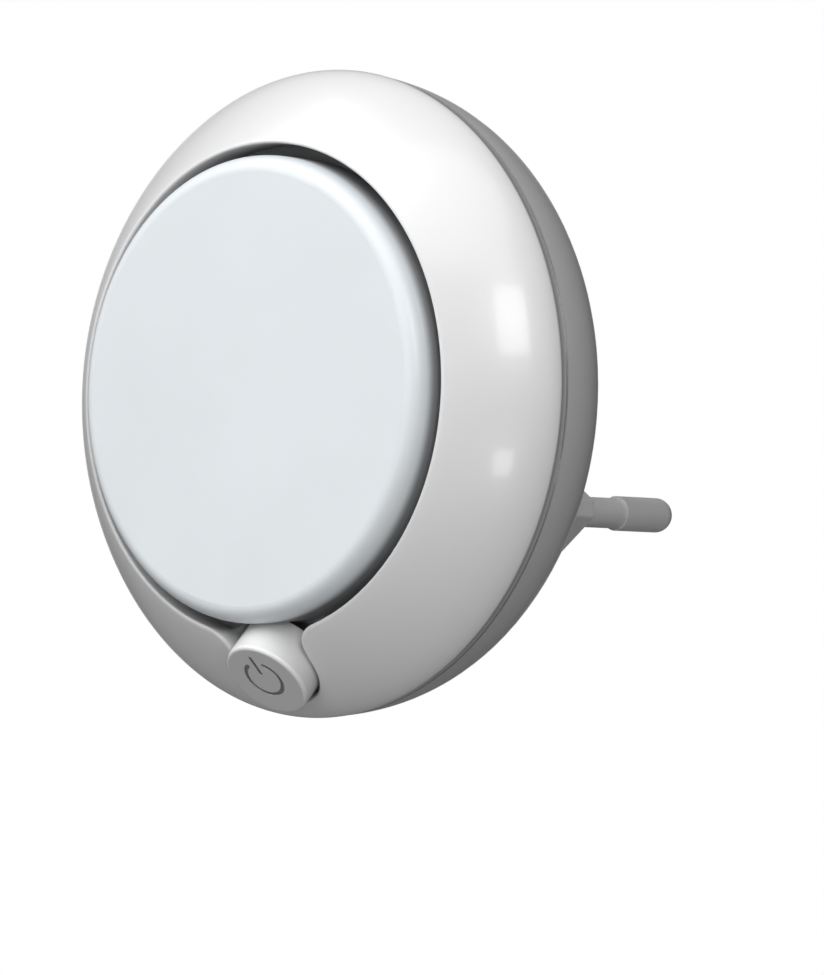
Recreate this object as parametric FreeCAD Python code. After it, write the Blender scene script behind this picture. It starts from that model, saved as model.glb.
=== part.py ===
import FreeCAD, Part
import math
import os

from FreeCAD import Matrix, Vector

# Plug-in night light with a round LED panel, a sprung push button and a two-pin Euro plug.
# Everything is drawn about the axis of the round body: X is to the right, Y runs from the
# front to the back with 0 at the mouth of the front shell, and Z is up.
# The last step moves it all so that the origin is the middle of the plug's contact face.
# Lengths are in millimetres and angles in degrees.

# Front shell
mouth_radius = 27.1
mouth_wall = 1.8
mouth_depth = 4.0
seam_radius = 36.0
front_depth = 10.7
front_wall = 2.05
mouth_slope_deg = 16.0
mouth_pull = 1.0
front_seam_pull = 4.3
front_draft_deg = 4.2
hollow_pull_share = 0.4
seam_band = 1.0
seam_band_step = 0.12
seam_bevel = 0.14
lap_length = 1.5
lap_wall = 0.9
lap_gap = 0.1

# Rear shell
rear_depth = 11.8
rear_wall = 2.0
rear_flat_radius = 22.0
rear_seam_pull = 9.6
rear_back_pull = 7.9
rear_draft_deg = 3.6

# Diffuser
diffuser_gap = 1.36
diffuser_proud = 2.17
diffuser_edge_round = 1.86
diffuser_face_wall = 1.5
diffuser_side_wall = 2.6
diffuser_flange_reach = 0.9
diffuser_flange_wall = 1.0

# Push button, whose axis leans down from the front
button_tilt_deg = 45.0
button_face_y = 1.26
button_face_drop = 31.99
button_radius = 5.05
button_gap = 0.4
button_length = 4.08
button_edge_round = 0.45
button_travel = 1.2
button_wall = 1.3
shoulder_radius = 3.2
collar_wall = 1.3
button_lug_reach = 1.0
button_lug_width = 2.4
button_lug_wall = 0.9
stem_radius = 1.6

# Power symbol cut into the button
symbol_radius = 2.3
symbol_line = 0.5
symbol_depth = 0.25
symbol_gap_deg = 30.0
symbol_bar_inner = 0.8
symbol_bar_outer = 3.1
symbol_rise = 0.3

# Push switch on its own small board
switch_width = 7.0
switch_depth = 6.0
switch_wall = 1.0
switch_edge_round = 0.33
switch_front_below_face = 12.48
switch_plunger_radius = 2.0
switch_plunger_rise = 2.2
switch_plunger_flange = 0.7
switch_board_width = 12.0
switch_board_below = 1.0
switch_board_above = 2.4
switch_board_wall = 1.2
switch_leg_radius = 0.35
switch_leg_pitch = 2.5
switch_leg_tail = 0.8
bracket_half_width = 4.5
bracket_top_drop = 12.7
bracket_foot_drop = 20.6
bracket_back_wall = 1.6
spring_wire = 0.35
spring_radius = 1.35
spring_turns = 4
wire_radius = 0.45
wire_spacing = 7.0

# Reflector tray and LED board
tray_flange_wall = 1.2
tray_wall = 0.9
tray_wall_rise = 4.0
tray_gap = 0.1
ear_radius = 2.2
ear_reach = 1.4
ear_front = 7.0
ear_wall = 1.2
ear_angles_deg = (45.0, 135.0, 225.0, 315.0)
led_board_wall = 1.0
led_board_radius = 24.5
led_screw_radius_place = 23.6
led_board_gap = 0.05
led_count = 8
led_ring_radius = 14.0
led_width = 2.8
led_length = 3.5
led_height = 0.7
led_window_width = 2.2
led_window_sink = 0.1

# Plug and its pins, to the usual sizes of the flat two-pin Euro plug
pin_drop = 12.33
pin_spacing = 18.5
pin_radius = 2.0
pin_length = 19.0
sleeve_length = 10.0
sleeve_radius = 1.75
pin_core_radius = 1.3
pin_tail_radius = 1.25
pin_tail_length = 3.5
pin_collar_radius = 2.2
pin_collar_wall = 0.55
sleeve_sink = 2.0
plug_reach = 16.5
plug_root_width = 35.3
plug_root_height = 13.7
plug_face_width = 30.1
plug_face_height = 13.0
plug_end_height = 1.9
plug_slant_deg = 38.0
plug_edge_round = 0.5
plug_fit = 0.15
plug_flange_reach = 1.7
plug_flange_wall = 1.6

# Driver board and what stands on it
board_radius = 27.3
board_wall = 1.6
board_lift = 2.0
board_bottom = 8.4
board_post_radius = 2.6
board_posts = ((18.0, 14.0), (-18.0, 14.0), (20.5, 0.5), (-20.5, 0.5))
terminal_wall = 0.5
terminal_width = 4.4
terminal_length = 7.2
film_cap_size = (13.0, 8.0, 6.0)
film_cap_place = (-11.0, 3.0)
smoothing_cap_radius = 4.0
smoothing_cap_length = 11.0
crimp_round = 0.5
crimp_inset = 2.0
can_edge_round = 0.4
smoothing_cap_place = (5.5, 13.0)
rectifier_size = (4.7, 2.5, 3.9)
rectifier_place = (9.0, 3.5)
fuse_radius = 1.5
fuse_length = 9.0
fuse_end_round = 0.5
fuse_place = (0.5, -3.2)
fuse_lead_radius = 0.4
fuse_lead_reach = 2.0
chip_size = (3.2, 0.6, 1.6)
chip_count = 4
chip_pitch = 3.0
chip_place = (16.5, 1.0)
link_pin_width = 0.64
link_pitch = 2.54
link_place = (0.0, 19.4)
link_header_height = 2.5
link_header_width = 2.5
link_tail = 0.8

# Case screws, tray screws and board screws
case_screw_angles_deg = (90.0, 200.0, 340.0)
case_screw_inset = 5.3
case_boss_radius = 2.6
case_boss_length = 2.4
case_screw_radius = 1.2
case_screw_length = 8.0
case_head_radius = 2.3
case_head_height = 1.6
case_sink_radius = 2.7
case_seat_wall = 1.6
case_tube_wall = 1.1
small_screw_radius = 0.9
small_head_radius = 1.7
small_head_height = 1.1
small_screw_bite = 2.4
screw_clearance = 0.15
cross_width = 0.5
cross_depth = 0.6
cross_reach_share = 0.65
head_round_share = 1 / 3

# The two wires inside
wire_rise = 4.1
wire_turn_y = 10.6
wire_end_drop = 6.0
bend_share = 0.45

# Small shared distances
touch_gap = 0.05
free_gap = 0.3

# Places worked out from the sizes above
back_y = front_depth + rear_depth
rear_floor_y = back_y - rear_wall
plug_face_y = back_y + plug_reach
tilt = math.radians(button_tilt_deg)
button_axis = Vector(0, -math.cos(tilt), -math.sin(tilt))
button_up = Vector(0, -math.sin(tilt), math.cos(tilt))
button_origin = Vector(0, button_face_y, -button_face_drop)
diffuser_radius = mouth_radius - diffuser_gap
diffuser_inner = diffuser_radius - diffuser_side_wall
flange_radius = mouth_radius + diffuser_flange_reach
ear_place_radius = flange_radius + ear_reach
case_screw_place_radius = seam_radius - case_screw_inset
flange_back_y = mouth_depth + tray_gap + diffuser_flange_wall
tray_front_y = flange_back_y + tray_gap
tray_back_y = tray_front_y + tray_flange_wall
tray_outer = diffuser_inner - free_gap
tray_inner = tray_outer - tray_wall
led_board_y = tray_back_y + led_board_gap
led_board_back_y = led_board_y + led_board_wall
board_front_y = rear_floor_y - board_lift - board_wall
board_back_y = rear_floor_y - board_lift
plug_flange_y = rear_floor_y - plug_flange_wall
lug_w = -button_length
stem_end_w = switch_plunger_rise - switch_front_below_face + touch_gap
whole = 60.0

solids = {}


def polar(radius, angle_deg):
    """X and Z of a point about the body's axis."""
    angle = math.radians(angle_deg)
    return radius * math.cos(angle), radius * math.sin(angle)


def rod(radius, y_front, y_back, x=0.0, z=0.0):
    """A cylinder along Y."""
    return Part.makeCylinder(radius, y_back - y_front, Vector(x, y_front, z), Vector(0, 1, 0))


def tube(outer, inner, y_front, y_back, x=0.0, z=0.0):
    """A pipe along Y."""
    return rod(outer, y_front, y_back, x, z).cut(rod(inner, y_front, y_back, x, z))


def block(size, centre):
    """A box about its centre."""
    corner = Vector(centre[0] - size[0] / 2, centre[1] - size[1] / 2, centre[2] - size[2] / 2)
    return Part.makeBox(size[0], size[1], size[2], corner)


def curve(poles):
    """A smooth curve through its first and last (radius, y) poles."""
    line = Part.BezierCurve()
    line.setPoles([Vector(radius, y, 0) for radius, y in poles])
    return line.toShape()


def straight(start, end):
    """A straight line between two (radius, y) points."""
    return Part.makeLine(Vector(start[0], start[1], 0), Vector(end[0], end[1], 0))


def turned(edges):
    """The solid turned about the body's axis from a closed chain of edges."""
    face = Part.Face(Part.Wire(Part.__sortEdges__(edges)))
    return face.revolve(Vector(0, 0, 0), Vector(0, 1, 0), 360)


def turned_outline(points):
    """The solid turned about the body's axis from straight-sided (radius, y) points."""
    ends = points[1:] + points[:1]
    return turned([straight(start, end) for start, end in zip(points, ends)])


def tilted(shape):
    """Moves a shape from the button's own frame into the body's.

    In the button's own frame X is across, Y is up its face, Z is out of its face and the
    origin is the middle of the face at rest.
    """
    side = Vector(1, 0, 0)
    place = Matrix(
        side.x, button_up.x, button_axis.x, button_origin.x,
        side.y, button_up.y, button_axis.y, button_origin.y,
        side.z, button_up.z, button_axis.z, button_origin.z,
        0, 0, 0, 1)
    copy = shape.copy()
    copy.Placement = FreeCAD.Placement(place).multiply(copy.Placement)
    return copy


def post(radius, w_low, w_high, x=0.0, v=0.0):
    """A cylinder along the button's axis, in the button's own frame."""
    return Part.makeCylinder(radius, w_high - w_low, Vector(x, v, w_low), Vector(0, 0, 1))


def round_edges(shape, radius, wanted):
    """Rounds the edges of a solid that the test picks out."""
    edges = [edge for edge in shape.Edges if wanted(edge)]
    return shape.makeFillet(radius, edges)


def front_outline_poles(inset):
    """The poles of the front shell's curve, moved in by a wall, or not at all."""
    slope = math.radians(mouth_slope_deg)
    draft = math.radians(front_draft_deg)
    rim_y = front_depth - seam_band
    mouth = (mouth_radius, 0.0)
    leave = (mouth_radius + mouth_pull * math.cos(slope), mouth_pull * math.sin(slope))
    reach = front_seam_pull - seam_band
    arrive = (seam_radius - reach * math.sin(draft) - inset, rim_y - reach * math.cos(draft) + inset / 2)
    return mouth, leave, arrive, (seam_radius - inset, rim_y)


def front_skin():
    """The whole front of the body as one solid, from the mouth back to the seam."""
    mouth, leave, arrive, rim = front_outline_poles(0.0)
    band = (rim[0] - seam_band_step, rim[1] + seam_band_step)
    foot = (band[0], front_depth - seam_bevel)
    edge = (band[0] - seam_bevel, front_depth)
    return turned([
        curve([mouth, leave, arrive, rim]),
        straight(rim, band),
        straight(band, foot),
        straight(foot, edge),
        straight(edge, (0.0, front_depth)),
        straight((0.0, front_depth), (0.0, 0.0)),
        straight((0.0, 0.0), mouth),
    ])


def front_hollow():
    """The hollow inside the front shell, behind the wall round its mouth."""
    start = (mouth_radius + mouth_wall, mouth_depth)
    arrive = front_outline_poles(front_wall)[2]
    end = (seam_radius - front_wall, front_depth)
    leave = (
        start[0] + (arrive[0] - start[0]) * hollow_pull_share,
        start[1] + (arrive[1] - start[1]) * hollow_pull_share)
    return turned([
        curve([start, leave, arrive, end]),
        straight(end, (0.0, front_depth)),
        straight((0.0, front_depth), (0.0, mouth_depth)),
        straight((0.0, mouth_depth), start),
    ])


def rear_poles(inset):
    """The poles of the rear shell's curve, from the seam to its flat back."""
    draft = math.radians(rear_draft_deg)
    start = seam_radius - seam_band_step
    return [
        (start - inset, front_depth),
        (start - rear_seam_pull * math.sin(draft) - inset, front_depth + rear_seam_pull - inset / 2),
        (rear_flat_radius + rear_back_pull - inset / 2, back_y - inset),
        (rear_flat_radius, back_y - inset),
    ]


def rear_body(inset):
    """The rear of the body as one solid, or its hollow when moved in by the wall."""
    poles = rear_poles(inset)
    floor = poles[3][1]
    return turned([
        curve(poles),
        straight(poles[3], (0.0, floor)),
        straight((0.0, floor), (0.0, front_depth)),
        straight((0.0, front_depth), poles[0]),
    ])


def shoulder_height(half_width, radius):
    """Where the rounded shoulder between the mouth and the neck has its middle.

    Seen along the button's axis the mouth is an ellipse. The shoulder touches it and the
    neck's straight side, and this finds that place by halving.
    """
    shrink = math.sin(tilt)
    low, high = 0.0, math.pi / 2
    for step in range(50):
        turn = (low + high) / 2
        slant = math.hypot(shrink * math.sin(turn), math.cos(turn))
        x = mouth_radius * math.sin(turn) + radius * shrink * math.sin(turn) / slant
        if x < half_width + radius:
            low = turn
        else:
            high = turn
    height = -mouth_radius * shrink * math.cos(turn) - radius * math.cos(turn) / slant
    touch = (mouth_radius * math.sin(turn), -mouth_radius * shrink * math.cos(turn))
    centre_v = button_origin.dot(button_up)
    return height - centre_v, (touch[0], touch[1] - centre_v)


def keyhole(radius, shoulder, w_low, w_high):
    """The round hole and its open neck, as a tool in the button's own frame."""
    middle_v, touch = shoulder_height(radius, shoulder)
    centre = Vector(radius + shoulder, middle_v, 0)
    side = Vector(radius, middle_v, 0)
    top = Vector(touch[0], touch[1], 0)
    between = (side - centre).normalize() + (top - centre).normalize()
    bulge = centre + between.normalize() * shoulder
    high = Vector(touch[0], touch[1] + shoulder, 0)

    def mirror(point):
        return Vector(-point.x, point.y, 0)

    base = Vector(radius, 0, 0)
    wire = Part.Wire([
        Part.Arc(base, Vector(0, -radius, 0), mirror(base)).toShape(),
        Part.makeLine(mirror(base), mirror(side)),
        Part.Arc(mirror(side), mirror(bulge), mirror(top)).toShape(),
        Part.makeLine(mirror(top), mirror(high)),
        Part.makeLine(mirror(high), high),
        Part.makeLine(high, top),
        Part.Arc(top, bulge, side).toShape(),
        Part.makeLine(side, base),
    ])
    tool = Part.Face(wire).extrude(Vector(0, 0, w_high - w_low))
    tool.translate(Vector(0, 0, w_low))
    return tilted(tool)


def button_clearance(w_low, extra=0.0):
    """The round space that the button and its stem need, from a depth outwards."""
    return tilted(post(button_radius + button_gap + extra, w_low, whole / 2))


def ear_places():
    """X and Z of the four tray ears."""
    return [polar(ear_place_radius, angle) for angle in ear_angles_deg]


def case_places():
    """X and Z of the case screws."""
    return [polar(case_screw_place_radius, angle) for angle in case_screw_angles_deg]


def inside_collar(hollow):
    """The collar round the button and the walls of its neck, inside the front shell."""
    outer = button_radius + button_gap + collar_wall
    height = -collar_foot_w
    ring = post(outer, collar_foot_w, height)
    neck = Part.makeBox(2 * outer, mouth_radius, 2 * height, Vector(-outer, 0, collar_foot_w))
    return tilted(ring.fuse(neck)).common(hollow)


def make_front_shell():
    """The domed front ring with its keyhole, button collar and screw posts."""
    skin = front_skin()
    hollow = front_hollow()
    shell = skin.cut(hollow).fuse(inside_collar(hollow))
    for x, z in case_places():
        inner = rod(case_boss_radius, mouth_depth, front_depth, x, z).common(skin)
        outer = rod(case_boss_radius, front_depth, case_seat_y - touch_gap, x, z)
        shell = shell.fuse(inner).fuse(outer)
    for x, z in ear_places():
        shell = shell.fuse(rod(ear_radius, mouth_depth, ear_front - touch_gap, x, z).common(skin))
    shell = shell.cut(rod(mouth_radius, -1, mouth_depth))
    shell = shell.cut(rod(flange_radius + tray_gap, mouth_depth, ear_front))
    for x, z in ear_places():
        shell = shell.cut(rod(ear_radius + free_gap, ear_front - touch_gap, front_depth, x, z))
    shell = shell.cut(keyhole(button_radius + button_gap, shoulder_radius, keyhole_low_w, whole / 2))
    shell = shell.cut(tilted(post(lug_room_radius, keyhole_low_w, collar_foot_w)))
    lap_outer = lap_radius + lap_wall + lap_gap
    shell = shell.cut(tube(lap_outer, lap_radius - lap_gap, front_depth - lap_length - lap_gap, front_depth))
    for x, z in case_places():
        depth = case_seat_y + case_seat_wall - case_screw_length - touch_gap
        shell = shell.cut(rod(case_screw_radius + touch_gap, depth, case_seat_y, x, z))
    for x, z in ear_places():
        depth = ear_front - small_screw_bite - touch_gap
        shell = shell.cut(rod(small_screw_radius + touch_gap, depth, ear_front, x, z))
    return shell


def make_rear_shell():
    """The rear cup with its lap rim, screw tubes, board posts and plug opening."""
    outer = rear_body(0.0)
    shell = outer.cut(rear_body(rear_wall))
    bevel = turned_outline([
        (seam_radius + 1, front_depth - 1), (seam_radius + 1, front_depth + seam_bevel),
        (seam_radius - seam_band_step, front_depth + seam_bevel),
        (seam_radius - seam_band_step - seam_bevel, front_depth), (seam_radius - 1, front_depth - 1)])
    shell = shell.cut(bevel)
    shell = shell.fuse(tube(lap_radius + lap_wall, lap_radius, front_depth - lap_length, front_depth + 1))
    tube_radius = case_sink_radius + case_tube_wall
    for x, z in case_places():
        shell = shell.fuse(rod(tube_radius, case_seat_y, whole, x, z).common(outer))
    for x, z in board_posts:
        shell = shell.fuse(rod(board_post_radius, board_back_y, rear_floor_y + 1, x, z))
    for x, z in case_places():
        shell = shell.cut(rod(case_screw_radius + screw_clearance, case_seat_y - 1, whole, x, z))
        shell = shell.cut(rod(case_sink_radius, case_seat_y + case_seat_wall, whole, x, z))
    for x, z in board_posts:
        shell = shell.cut(rod(small_screw_radius + touch_gap, board_back_y, board_pilot_end, x, z))
    return shell.cut(hexagon_block(plug_fit, rear_floor_y - 1, back_y + 1))


def make_diffuser():
    """The frosted cup: a flat face, a rounded edge, a side wall and a hidden flange."""
    face_y = -diffuser_proud
    edge = diffuser_edge_round
    middle = Vector(diffuser_radius - edge, face_y + edge, 0)
    lean = edge * math.sqrt(0.5)
    bend = Part.Arc(
        Vector(diffuser_radius - edge, face_y, 0),
        middle + Vector(lean, -lean, 0),
        Vector(diffuser_radius, face_y + edge, 0)).toShape()
    inner_y = face_y + diffuser_face_wall
    front_y = mouth_depth + tray_gap
    corners = [
        (diffuser_radius, face_y + edge), (diffuser_radius, front_y), (flange_radius, front_y),
        (flange_radius, flange_back_y), (diffuser_inner, flange_back_y), (diffuser_inner, inner_y),
        (0.0, inner_y), (0.0, face_y), (diffuser_radius - edge, face_y)]
    cup = turned([bend] + [straight(a, b) for a, b in zip(corners, corners[1:])])
    low = -button_length - button_lug_wall - button_travel - 2 * touch_gap
    cup = cup.cut(tilted(post(button_radius + button_gap, low, whole / 2)))
    behind = rod(flange_radius + 1, mouth_depth, flange_back_y + 1)
    return cup.cut(button_room().common(behind)).cut(stem_room(free_gap))


def stem_room(extra):
    """The slanted space round the button's stem."""
    return tilted(post(stem_radius + extra, -switch_front_below_face - 1, whole / 2))


def button_room():
    """The space behind the mouth that the pressed button and its lugs need."""
    low = -button_length - button_lug_wall - button_travel - free_gap
    return tilted(post(lug_room_radius, low, whole / 2))


def make_reflector_tray():
    """The white ring that closes the diffuser and carries the LED board."""
    tray = tube(flange_radius, tray_inner, tray_front_y, tray_back_y)
    tray = tray.fuse(tube(tray_outer, tray_inner, tray_back_y - tray_wall_rise, tray_front_y))
    for angle in ear_angles_deg:
        x, z = polar(ear_place_radius, angle)
        tray = tray.fuse(rod(ear_radius, ear_front, ear_front + ear_wall, x, z))
        arm_length = ear_place_radius - flange_radius + 2 * tray_flange_wall
        arm = Part.makeBox(
            arm_length, ear_front + ear_wall - tray_back_y, 2 * ear_radius,
            Vector(ear_place_radius - arm_length, tray_back_y, -ear_radius))
        arm.rotate(Vector(0, 0, 0), Vector(0, 1, 0), -angle)
        step = rod(ear_place_radius + ear_radius, tray_back_y, ear_front + ear_wall)
        thin = tube(whole, flange_radius, 0, ear_front)
        tray = tray.fuse(arm.common(step).cut(thin))
    tray = tray.cut(button_room()).cut(stem_room(free_gap))
    for x, z in ear_places():
        tray = tray.cut(rod(small_screw_radius + screw_clearance, 0, whole, x, z))
    for x, z in led_screw_places():
        tray = tray.cut(rod(small_screw_radius + touch_gap, 0, whole, x, z))
    return tray


def led_screw_places():
    """X and Z of the two screws of the LED board."""
    return [(led_screw_radius_place, 0.0), (-led_screw_radius_place, 0.0)]


def link_places():
    """X and Z of the two pins that join the boards."""
    x, z = link_place
    return [(x - link_pitch / 2, z), (x + link_pitch / 2, z)]


def make_led_board():
    """The round white board behind the diffuser."""
    board = rod(led_board_radius, led_board_y, led_board_back_y)
    board = board.cut(stem_room(2 * free_gap))
    for x, z in led_screw_places():
        board = board.cut(rod(small_screw_radius + screw_clearance, 0, whole, x, z))
    hole = link_pin_width + 2 * touch_gap
    for x, z in link_places():
        board = board.cut(block((hole, whole, hole), (x, led_board_y, z)))
    return board


def make_leds():
    """The LED packages and the phosphor windows in their faces."""
    packages = []
    windows = []
    front = led_board_y - led_height
    for number in range(led_count):
        angle = 360.0 * (number + 0.5) / led_count
        x, z = polar(led_ring_radius, angle)
        body = block((led_length, led_height, led_width), (x, led_board_y - led_height / 2, z))
        window = led_window_width / 2
        pocket = rod(window, front - 1, front + led_height / 2, x, z)
        packages.append(body.cut(pocket))
        windows.append(rod(window - touch_gap, front + led_window_sink, front + led_height / 2, x, z))
    return Part.makeCompound(packages), Part.makeCompound(windows)


def hexagon(width, height, y):
    """The flat plug's outline at a height along Y, with slanted ends."""
    slant = math.radians(plug_slant_deg)
    half = height / 2
    end = plug_end_height / 2
    inner = width / 2 - (half - end) / math.tan(slant)
    corners = [
        (width / 2, end), (inner, half), (-inner, half),
        (-width / 2, end), (-width / 2, -end), (-inner, -half), (inner, -half), (width / 2, -end)]
    return Part.makePolygon([Vector(x, y, z - pin_drop) for x, z in corners + corners[:1]])


def hexagon_block(extra, y_front, y_back):
    """A straight block with the outline of the plug's root."""
    outline = hexagon(plug_root_width + 2 * extra, plug_root_height + 2 * extra, y_front)
    return Part.Face(outline).extrude(Vector(0, y_back - y_front, 0))


def make_plug_insert():
    """The flat plug body, with its flange inside the case and its pin holes."""
    root = hexagon(plug_root_width, plug_root_height, back_y)
    face = hexagon(plug_face_width, plug_face_height, plug_face_y)
    body = Part.makeLoft([root, face], True, True)
    body = round_edges(body, plug_edge_round, lambda edge: edge.BoundBox.YMax > back_y + 1)
    body = body.fuse(hexagon_block(0.0, plug_flange_y, back_y))
    body = body.fuse(hexagon_block(plug_flange_reach, plug_flange_y, rear_floor_y - touch_gap))
    for x in pin_places():
        body = body.cut(rod(pin_core_radius + touch_gap, 0, whole, x, -pin_drop))
        sink = plug_face_y - sleeve_sink
        body = body.cut(rod(sleeve_radius + touch_gap, sink, whole, x, -pin_drop))
    return body.removeSplitter()


def pin_places():
    """X of the two plug pins, the left one first."""
    return [-pin_spacing / 2, pin_spacing / 2]


def make_pin(x):
    """One contact pin: tail, collar, thin core and full-size tip with a round end."""
    z = -pin_drop
    tip_y = plug_face_y + pin_length
    head_y = plug_face_y + sleeve_length + touch_gap
    pin = rod(pin_radius, head_y, tip_y - pin_radius, x, z)
    pin = pin.fuse(Part.makeSphere(pin_radius, Vector(x, tip_y - pin_radius, z)))
    collar_y = plug_flange_y - touch_gap - pin_collar_wall
    pin = pin.fuse(rod(pin_core_radius, collar_y, head_y, x, z))
    pin = pin.fuse(rod(pin_collar_radius, collar_y, collar_y + pin_collar_wall, x, z))
    pin = pin.fuse(rod(pin_tail_radius, plug_flange_y - pin_tail_length, collar_y, x, z))
    return pin.removeSplitter()


def make_sleeve(x):
    """The insulating sleeve round the base of one pin."""
    start = plug_face_y - sleeve_sink + touch_gap
    return tube(sleeve_radius, pin_core_radius + touch_gap, start, plug_face_y + sleeve_length, x, -pin_drop)


def make_terminal(x):
    """The brass strip that joins one pin's tail to the driver board."""
    low = -pin_drop - terminal_width / 2
    strip = Part.makeBox(
        terminal_width, terminal_wall, terminal_length,
        Vector(x - terminal_width / 2, board_front_y - terminal_wall, low))
    return strip.cut(rod(pin_tail_radius + touch_gap, 0, whole, x, -pin_drop))


def make_driver_board():
    """The mains board, a disc with its lower side cut off."""
    board = rod(board_radius, board_front_y, board_back_y)
    below = Part.makeBox(whole * 2, whole * 2, whole, Vector(-whole, -whole, -whole - board_bottom))
    board = board.cut(below)
    for x, z in case_places():
        board = board.cut(rod(case_sink_radius + case_tube_wall + free_gap, 0, whole, x, z))
    for x, z in board_posts:
        board = board.cut(rod(small_screw_radius + screw_clearance, 0, whole, x, z))
    hole = link_pin_width + 2 * touch_gap
    for x, z in link_places():
        board = board.cut(block((hole, whole, hole), (x, board_front_y, z)))
    return board


def on_board(size, place):
    """A box that stands on the front of the driver board; size is across, tall, high."""
    x, z = place
    return block(size, (x, board_front_y - size[1] / 2, z))


def lying(radius, length, place):
    """A cylinder that lies across the front of the driver board."""
    x, z = place
    start = Vector(x - length / 2, board_front_y - radius, z)
    return Part.makeCylinder(radius, length, start, Vector(1, 0, 0))


def make_smoothing_capacitor():
    """The round can, with the crimp near its end."""
    x, z = smoothing_cap_place
    radius = smoothing_cap_radius
    can = lying(radius, smoothing_cap_length, smoothing_cap_place)
    can = round_edges(can, can_edge_round, lambda edge: edge.Curve.TypeId == "Part::GeomCircle")
    crimp_x = x - smoothing_cap_length / 2 + crimp_inset
    crimp = Part.makeTorus(
        radius + crimp_round / 2, crimp_round, Vector(crimp_x, board_front_y - radius, z), Vector(1, 0, 0))
    return can.cut(crimp)


def make_fuse_resistor():
    """The barrel of the fusible resistor and its two bent leads."""
    x, z = fuse_place
    barrel = lying(fuse_radius, fuse_length, fuse_place)
    barrel = round_edges(barrel, fuse_end_round, lambda edge: edge.Curve.TypeId == "Part::GeomCircle")
    middle_y = board_front_y - fuse_radius
    span = fuse_length / 2 + fuse_lead_reach
    wire = Part.makeCylinder(fuse_lead_radius, 2 * span, Vector(x - span, middle_y, z), Vector(1, 0, 0))
    barrel = barrel.fuse(wire)
    for side in (-span, span):
        barrel = barrel.fuse(rod(fuse_lead_radius, middle_y, board_front_y, x + side, z))
        barrel = barrel.fuse(Part.makeSphere(fuse_lead_radius, Vector(x + side, middle_y, z)))
    return barrel


def make_chip_resistors():
    """The row of small resistors on the driver board."""
    x, z = chip_place
    return Part.makeCompound([on_board(chip_size, (x, z + n * chip_pitch)) for n in range(chip_count)])


def make_link_header():
    """The plastic strip round the pins that join the boards."""
    size = (2 * link_header_width, link_header_height, link_header_width)
    strip = on_board(size, link_place)
    hole = link_pin_width + 2 * touch_gap
    for x, z in link_places():
        strip = strip.cut(block((hole, whole, hole), (x, board_front_y, z)))
    return strip


def make_link_pins():
    """The two square pins that join the boards."""
    start = led_board_y - link_tail
    length = board_back_y + link_tail - start
    size = (link_pin_width, length, link_pin_width)
    return Part.makeCompound([block(size, (x, start + length / 2, z)) for x, z in link_places()])


def symbol_tool():
    """The arc and bar of the power symbol, in the button's own frame."""
    line = symbol_line / 2
    tall = 2 * symbol_depth
    ring = post(symbol_radius + line, -symbol_depth, symbol_depth)
    ring = ring.cut(post(symbol_radius - line, -symbol_depth, symbol_depth))
    half = math.radians(symbol_gap_deg)
    reach = 2 * symbol_radius
    corners = [(0, 0), (reach * math.tan(half), reach), (-reach * math.tan(half), reach), (0, 0)]
    wedge = Part.makePolygon([Vector(x, v, -symbol_depth) for x, v in corners])
    ring = ring.cut(Part.Face(wedge).extrude(Vector(0, 0, tall)))
    for side in (-half, half):
        x = symbol_radius * math.sin(side)
        ring = ring.fuse(post(line, -symbol_depth, symbol_depth, x, symbol_radius * math.cos(side)))
    bar_length = symbol_bar_outer - symbol_bar_inner
    bar = Part.makeBox(symbol_line, bar_length, tall, Vector(-line, symbol_bar_inner, -symbol_depth))
    for v in (symbol_bar_inner, symbol_bar_outer):
        bar = bar.fuse(post(line, -symbol_depth, symbol_depth, 0, v))
    symbol = ring.fuse(bar)
    symbol.translate(Vector(0, symbol_rise, 0))
    return symbol


def make_button_cap():
    """The round push button with its engraved face, two side lugs and its stem."""
    foot = -button_length - button_lug_wall
    cap = post(button_radius, foot, 0)
    cap = round_edges(cap, button_edge_round, lambda edge: edge.BoundBox.ZMin > -touch_gap)
    cap = cap.cut(post(button_radius - button_wall, foot, -button_wall))
    reach = button_radius + button_lug_reach
    lugs = Part.makeBox(2 * reach, button_lug_width, button_lug_wall, Vector(-reach, -button_lug_width, foot))
    lugs = lugs.cut(post(button_radius - button_wall, foot, 0))
    cap = cap.fuse(lugs).fuse(post(stem_radius, stem_end_w, -button_wall / 2))
    return tilted(cap.cut(symbol_tool()).removeSplitter())


def make_switch_housing():
    """The hollow square case of the push switch."""
    front = -switch_front_below_face
    half = switch_width / 2
    case = Part.makeBox(switch_width, switch_width, switch_depth, Vector(-half, -half, front - switch_depth))
    case = round_edges(case, switch_edge_round, lambda edge: edge.BoundBox.ZLength > switch_depth / 2)
    room = post(half - switch_wall, front - switch_depth + switch_wall, front - switch_wall)
    hole = post(switch_plunger_radius + touch_gap, front - 2 * switch_wall, front + 1)
    return tilted(case.cut(room).cut(hole))


def make_switch_plunger():
    """The plunger of the push switch, which the button's stem pushes."""
    front = -switch_front_below_face
    shoulder = front - switch_wall - touch_gap
    plunger = post(switch_plunger_radius, shoulder, front + switch_plunger_rise)
    flange_radius_in = switch_width / 2 - switch_wall - free_gap
    flange = post(flange_radius_in, shoulder - switch_plunger_flange, shoulder)
    return tilted(plunger.fuse(flange).removeSplitter())


def coil_place(angle, low, rise):
    """A point on the spring's coil and the way it runs there; rise is per radian."""
    place = Vector(spring_radius * math.cos(angle), spring_radius * math.sin(angle), low + rise * angle)
    way = Vector(-spring_radius * math.sin(angle), spring_radius * math.cos(angle), rise)
    return place, way.normalize()


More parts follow.
